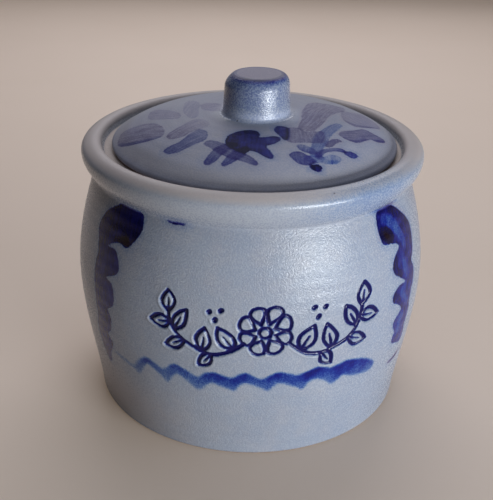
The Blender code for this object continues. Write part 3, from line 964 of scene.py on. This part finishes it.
def salt_glaze(
    name, body, shade, pale, warm, roughness, ior, coat, pale_coat, peel, pale_relief, speckle, flux
):
    """Salt-glazed stoneware that reads its brushwork from the mesh.

    body and shade are the clay's two tones, pale and warm those of thin glaze and of crests. Pale
    also lays a painted sheen on the lid's far side, and warm a partly painted bounce light low on
    the jar's left.
    coat and pale_coat are the weights of a glossy layer, on the body and where it is pale.
    peel is the depth of the orange peel in mm, and pale_relief the share of it on pale glaze.
    speckle is how much more thin pigment the pits hold, and flux how far pigment smooths.
    """
    nodes = Nodes(name)
    place = nodes.add("ShaderNodeTexCoord").outputs["Object"]
    pits = nodes.noise(place, PIT, 1.5, 0.55)
    drift = nodes.noise(place, DRIFT, 3.0, 0.6)
    thin_glaze_and_sheen, warm_part, bareness = [nodes.attribute(key) for key in ("pale", "warm", "bare")]

    tone = clay_tone(nodes, place, pits, drift, body, shade, pale, warm)
    load, cut = brushed_load(nodes, place, pits, drift, speckle)
    violet = nodes.attribute("stroke_violet")
    violet = nodes.math("MAXIMUM", violet, nodes.product(cut, CUT_VIOLET))
    passed = nodes.mix(violet, nodes.ramp(load, COBALT), nodes.ramp(load, VIOLET))
    color = nodes.mix(1.0, tone, passed, "MULTIPLY")
    # The iron attribute holds iron pools and the gallery's iron, and also painted shade at the
    # lid's left front edge.
    iron_and_shade = nodes.product(nodes.attribute("iron_and_shade"), nodes.range(drift, 0.3, 0.6, 0.6, 1.0))
    color = nodes.mix(iron_and_shade, color, IRON_AND_SHADE)
    hollows = tuple(CLAY_HOLLOWS * channel for channel in BARE_CLAY)
    clay = nodes.mix(nodes.vary(nodes.noise(place, CLAY_GRAIN, 2.0, 0.6)), BARE_CLAY, hollows)
    color = nodes.mix(bareness, color, clay)

    rough = nodes.total(
        nodes.vary(pits, roughness + PIT_ROUGHNESS, roughness + RIDGE_ROUGHNESS),
        nodes.product(thin_glaze_and_sheen, PALE_ROUGHNESS - roughness),
        nodes.product(load, -flux),
        nodes.product(iron_and_shade, IRON_ROUGHNESS),
        nodes.product(warm_part, CREST_ROUGHNESS),
    )
    rough = nodes.math("ADD", rough, nodes.product(bareness, BARE_ROUGHNESS), clamp=True)
    relief = nodes.product(
        nodes.total(pits, nodes.product(nodes.noise(place, DIMPLE, 1.0), 0.3)),
        nodes.fade(warm_part, 1.0, 0.2),
        nodes.fade(thin_glaze_and_sheen, 1.0, pale_relief),
        nodes.range(load, 0.25, 0.7, 1.0, 0.4),
    )
    bump = nodes.add("ShaderNodeBump", {"Distance": peel * MM, "Height": relief}).outputs[0]
    looks = {"Base Color": color, "Roughness": rough, "Normal": bump, "IOR": ior}
    if pale_coat:
        gloss = nodes.product(
            nodes.fade(thin_glaze_and_sheen, coat, pale_coat),
            nodes.fade(warm_part, 1.0, 0.0),
            nodes.math("SUBTRACT", 1.0, bareness),
        )
        looks |= {"Coat Weight": gloss, "Coat Roughness": COAT_ROUGHNESS, "Coat Normal": bump}
    shader = nodes.add("ShaderNodeBsdfPrincipled", looks)
    nodes.add("ShaderNodeOutputMaterial", {"Surface": shader.outputs[0]})
    return nodes.material


JAR_GLAZE = dict(
    body=linear(153, 159, 172), shade=linear(146, 153, 168), pale=linear(160, 164, 174),
    warm=linear(186, 172, 166), roughness=0.235, ior=1.33, coat=0.05, pale_coat=0.45, peel=0.22,
    pale_relief=0.6, speckle=0.5, flux=0.16,
)
LID_GLAZE = dict(
    body=linear(157, 158, 172), shade=linear(150, 151, 166), pale=linear(165, 168, 179),
    warm=linear(158, 151, 148), roughness=0.54, ior=1.22, coat=0.0, pale_coat=0.0, peel=0.13,
    pale_relief=1.0, speckle=0.3, flux=-0.1,
)
KNOB_GLAZE = dict(
    body=linear(150, 156, 169), shade=linear(142, 150, 165), pale=linear(168, 174, 192),
    warm=linear(108, 103, 128), roughness=0.25, ior=1.45, coat=0.5, pale_coat=0.4, peel=0.22,
    pale_relief=1.0, speckle=0.75, flux=0.0,
)

# How bare the unglazed clay looks: on the ledge and the seat, and under the base
SEAT_BARE, BASE_BARE = 0.85, 0.9


def hand_thrown(turned, size):
    """Slow unevenness of a hand-made piece, in mm, from -size to size."""
    turn, height = turned.turn, turned.height
    slow = 0.4 * np.sin(2 * turn + 0.7) + 0.3 * np.sin(3 * turn + height / 21)
    return size * (slow + 0.3 * np.sin(height / 9 + turn))


def lift_jar(jar, painting, inside, on_wall):
    """Unevenness, throwing waves, turning lines and the sprig's cuts, all within the skin."""
    height, turn = jar.height, jar.turn
    low_part = smoothstep(0, 6, height)
    front = 1 - smoothstep(30, 42, np.abs(jar.azimuth))
    front *= 1 - smoothstep(20, 34, np.abs(height - SPRIG_MIDDLE))
    jar.lift = -(SKIN + FRONT_SKIN * front - hand_thrown(jar, 0.05)) * low_part
    spacing, size = INSIDE_WAVES
    rings = waves(spacing, size, height, 2 * turn) * smoothstep(12, 30, height)
    jar.lift[inside] = (rings * (1 - smoothstep(115, 126, height)) - size)[inside]
    throwing = waves(*WALL_WAVES, height, turn)
    for line in TURNING_LINES:
        above = height - line - TURNING_CLIMB * turn
        throwing -= TURNING_DEPTH * bell(0, TURNING_HALF_WIDTH, above)
    burr = painting.burr * BURR_HEIGHT * (painting.groove == 0)
    jar.lift += on_wall * low_part * (throwing + burr - painting.groove * GROOVE_DEPTH)


def make_jar():
    bands = [(jar_inside(), SPARSE), (rim(), SPARSE), (wall(), wall_columns()), (foot(), SPARSE)]
    jar = Turned(bands)
    height, azimuth = jar.height, jar.azimuth
    inside, on_rim, on_wall = [jar.band == band for band in (0, 1, 2)]
    painting = Painting(np.stack([jar.turn * CHART_RADIUS, height], 1))
    paint_wall(painting)
    carve_sprig(painting)
    lift_jar(jar, painting, inside, on_wall)
    values = painting.values()
    values["stroke_load"] *= on_wall
    values["cut_edge"] = np.where(on_wall, values["cut_edge"], -FAR)
    values["iron_and_shade"] *= on_wall
    values["haze"] *= ~inside

    ledge = inside & (height > LEDGE_HEIGHT - 3)
    ledge |= on_rim & (height < LEDGE_HEIGHT + 0.3) & (jar.radius < GALLERY_RADIUS)
    base = (jar.band == 3) & (height < 0.6)
    values["bare"] = SEAT_BARE * ledge + BASE_BARE * base
    facing_in = np.where(jar.radius < CREST_RADIUS, -jar.out, 0.0)
    values["iron_and_shade"] += on_rim * 0.25 * smoothstep(0.75, 1.0, facing_in)

    rise = smoothstep(NECK_HEIGHT - 2, NECK_HEIGHT + 6, height) * on_rim
    warm_part = smoothstep(CREST_HEIGHT - 4.5, CREST_HEIGHT - 1.0, height) * on_rim
    # At the rim's right front the crest stays cool and a bluish tint is laid on: partly cobalt
    # haze, partly a painted reflection of bluish light
    right_front = bell(42, 22, azimuth)
    # Low on the wall's left a warmer, lighter tone: partly the clay's own, partly painted bounce
    # light from the floor
    low_left_tone_and_bounce = (1 - smoothstep(15, 50, height)) * bell(-50, 28, azimuth)
    values["pale"] = rise
    values["warm"] = 0.8 * warm_part * (1 - 0.8 * right_front) + 0.45 * on_wall * low_left_tone_and_bounce
    crease = bell(NECK_HEIGHT + 0.3, 0.9, height) * (jar.radius > RIM_RADIUS - 9)
    crease_line = crease * smoothstep(40, 46, azimuth) * (1 - smoothstep(55, 60, azimuth))
    values["haze"] += rise * 0.13 * right_front * (1 - 0.5 * warm_part)
    # A faint bluish tint over the wall's right side: partly cobalt haze, partly painted cool light
    # from the right
    values["haze"] += on_wall * 0.02 * smoothstep(15, 40, azimuth) + 0.3 * crease_line
    jar.values = values
    look = salt_glaze("jar_salt_glaze", **JAR_GLAZE)
    jar.build("jar_turned", look, "crock", "crock_body")


def make_lid():
    top = lid_topside()
    inner = [point for point in top if point[0] <= LID_MIDDLE_RADIUS]
    outer = [point for point in top if point[0] > LID_MIDDLE_RADIUS]
    bands = [(inner, LID_MIDDLE_COLUMNS), (outer, LID_COLUMNS), (lid_edge(), SPARSE)]
    lid = Turned(bands, LID_CENTRE)
    radius, azimuth = lid.radius, lid.azimuth
    x, y = radius * np.sin(lid.turn), -radius * np.cos(lid.turn)
    painting = Painting(np.stack([x, y], 1))
    paint_lid(painting)
    on_top = lid.band < 2
    away = np.hypot(x + LID_CENTRE - KNOB_CENTRE, y) - KNOB_RADIUS
    clear = smoothstep(0, 8, away)
    uneven = hand_thrown(lid, 0.1) - 0.15 + on_top * waves(*LID_WAVES, radius, lid.turn)
    lid.lift = np.where(on_top, uneven * clear + COLLAR * (1 - clear), uneven)

    values = painting.values()
    for key in ("stroke_load", "iron_and_shade", "haze"):
        values[key] *= on_top
    glazed_edge = (radius > LID_RADIUS - LID_EDGE / 2) & (lid.height > LID_BOTTOM + 0.9)
    glazed = on_top | glazed_edge
    values["bare"] = SEAT_BARE * ~glazed
    values["warm"] = 0.3 * smoothstep(62, 70, radius) * (1 - smoothstep(72, 74.5, radius)) * on_top
    # Painted shade: the lid's edge at the left front is darkened with the iron colour.
    values["iron_and_shade"] += 0.2 * bell(-55, 38, azimuth) * smoothstep(62, 74, radius) * glazed
    values["haze"] += 0.03 * on_top * bell(65, 45, azimuth)
    round_knob = on_top * (1 - smoothstep(1, 7.5, away))
    # Painted sheen: the lid's far side, and most of all its far edge, is made pale.
    behind = (1 - smoothstep(-0.6, 0.1, np.cos(lid.turn))) * smoothstep(20, 50, radius)
    painted_far_sheen = behind * (0.35 + 0.35 * smoothstep(68, 73, radius)) * glazed
    values["pale"] = np.maximum(round_knob, painted_far_sheen)
    lid.values = values
    look = salt_glaze("lid_salt_glaze", **LID_GLAZE)
    lid.build("lid_turned", look, "lid", "lid")


def make_knob():
    knob = Turned([(knob_outline(), KNOB_COLUMNS)], KNOB_CENTRE)
    radius, drop = knob.radius, KNOB_TOP - knob.height
    side = smoothstep(KNOB_TOP_RADIUS - 1.8, KNOB_TOP_RADIUS - 0.8, radius)
    foot_fade = 1 - 0.75 * smoothstep(10, 19, drop)
    front = np.clip(0.4 + 0.6 * np.cos(knob.turn - 0.1), 0, 1)
    ring = side * bell(0, 1.7, drop) * front
    shaded = 0.5 - 0.5 * np.sin(knob.turn - 0.3)
    values = Painting(np.stack([knob.turn * KNOB_RADIUS, knob.height], 1)).values()
    values["stroke_edge"] = np.full(len(side), 5.0)
    values["stroke_load"] = side * foot_fade * (0.1 + 0.08 * shaded) + 0.6 * ring
    values["stroke_violet"] = 0.45 - 0.1 * ring
    values["bare"] = np.zeros(len(side))
    values["pale"] = smoothstep(14.5, 19, drop)
    values["warm"] = 1 - smoothstep(KNOB_TOP_RADIUS - 0.2, KNOB_TOP_RADIUS + 1.6, radius)
    knob.values = values
    knob.lift = hand_thrown(knob, 0.06) * (1 - smoothstep(16, 19, drop))
    knob.lift += 0.3 * smoothstep(1.5, 6, drop) * (1 - smoothstep(10, 19, drop))
    knob.lift -= 0.07 * (1 - smoothstep(0, 2, drop))
    knob.lift += (KNOB_SUNK + COLLAR) * smoothstep(17.5, 20, drop) * (knob.up > 0)
    knob.lean = KNOB_TOP_SHIFT * (1 - smoothstep(0, 7, drop)) - 0.1
    look = salt_glaze("knob_cobalt_glaze", **KNOB_GLAZE)
    knob.build("knob_turned", look, "lid", "lid_knob")


# Light that only the camera and reflections see on the floor, so that it looks as pale as a cloth
FLOOR_GLOW = (0.09, 0.065, 0.045)


def make_floor():
    nodes = Nodes("pale_floor")
    place = nodes.add("ShaderNodeTexCoord").outputs["Object"]
    tone = nodes.mix(nodes.noise(place, 1 / 6, 2), linear(217, 203, 192), linear(211, 197, 185))
    cloth = nodes.add("ShaderNodeBsdfPrincipled", {"Base Color": tone, "Roughness": 0.8})
    seen = nodes.add("ShaderNodeLightPath").outputs
    in_view = nodes.total(seen["Is Camera Ray"], seen["Is Glossy Ray"])
    in_view = nodes.math("ADD", in_view, seen["Is Transmission Ray"], clamp=True)
    glow = nodes.add("ShaderNodeEmission", {"Color": (*FLOOR_GLOW, 1), "Strength": in_view})
    surface = nodes.add("ShaderNodeAddShader", {0: cloth.outputs[0], 1: glow.outputs[0]})
    nodes.add("ShaderNodeOutputMaterial", {"Surface": surface.outputs[0]})
    bpy.ops.mesh.primitive_plane_add(size=12)
    floor = bpy.context.object
    floor.name = "floor"
    floor.data.materials.append(nodes.material)


def make_world():
    world = bpy.data.worlds.new("soft_room")
    bpy.context.scene.world = world
    world.use_nodes = True
    background = world.node_tree.nodes["Background"]
    background.inputs["Color"].default_value = (1.0, 0.86, 0.8, 1)
    background.inputs["Strength"].default_value = 0.03


# Where the lamps aim, and how far from it they hang, in metres
LAMP_AIM, LAMP_DISTANCE = Vector((0, 0, 0.09)), 1.1


def make_light(name, azimuth, elevation, size, power, color):
    """A soft lamp aimed at the crock from this azimuth and elevation, in degrees and metres."""
    turn, rise = math.radians(azimuth), math.radians(elevation)
    level = math.cos(rise)
    away = Vector((math.sin(turn) * level, -math.cos(turn) * level, math.sin(rise)))
    lamp = bpy.data.lights.new(name, "AREA")
    lamp.shape = "RECTANGLE"
    lamp.size, lamp.size_y = size
    lamp.energy = power
    lamp.color = color
    holder = bpy.data.objects.new(name, lamp)
    holder.location = LAMP_AIM + away * LAMP_DISTANCE
    holder.rotation_euler = away.to_track_quat("Z", "Y").to_euler()
    bpy.context.scene.collection.objects.link(holder)


def make_camera():
    """The photograph's viewpoint: its place in metres and its turns in radians."""
    place = Vector((0, -0.456154, 0.296432))
    yaw, pitch, roll = -0.0046, 0.452, 0.0217
    focal_pixels, long_side, sensor = 903.41, 500, 36.0
    level, drop = math.cos(pitch), math.sin(pitch)
    ahead = Vector((math.sin(yaw) * level, math.cos(yaw) * level, -drop))
    side = Vector((math.cos(yaw), -math.sin(yaw), 0))
    upright = side.cross(ahead)
    right = math.cos(roll) * side + math.sin(roll) * upright
    up = math.cos(roll) * upright - math.sin(roll) * side
    camera = bpy.data.cameras.new("photo_view")
    camera.sensor_width = sensor
    camera.lens = focal_pixels / long_side * sensor
    holder = bpy.data.objects.new("photo_view", camera)
    columns = Matrix((right, up, -ahead)).transposed().to_4x4()
    holder.matrix_world = Matrix.Translation(place) @ columns
    bpy.context.scene.collection.objects.link(holder)
    bpy.context.scene.camera = holder


make_jar()
make_lid()
make_knob()
make_floor()
make_world()
make_light("window", 41, 0.8, (0.64, 0.17), 13.0, (0.9, 0.96, 1.0))
make_light("room_behind", 178, 48, (0.9, 0.9), 6.0, (0.97, 0.95, 1.0))
make_light("wall_behind", 180, 16, (1.6, 0.5), 0.85, (1.0, 0.97, 0.98))
make_light("ceiling", 0, 84, (0.9, 0.9), 2.8, (0.75, 0.86, 1.0))
make_camera()
bpy.context.scene.view_settings.view_transform = "Standard"
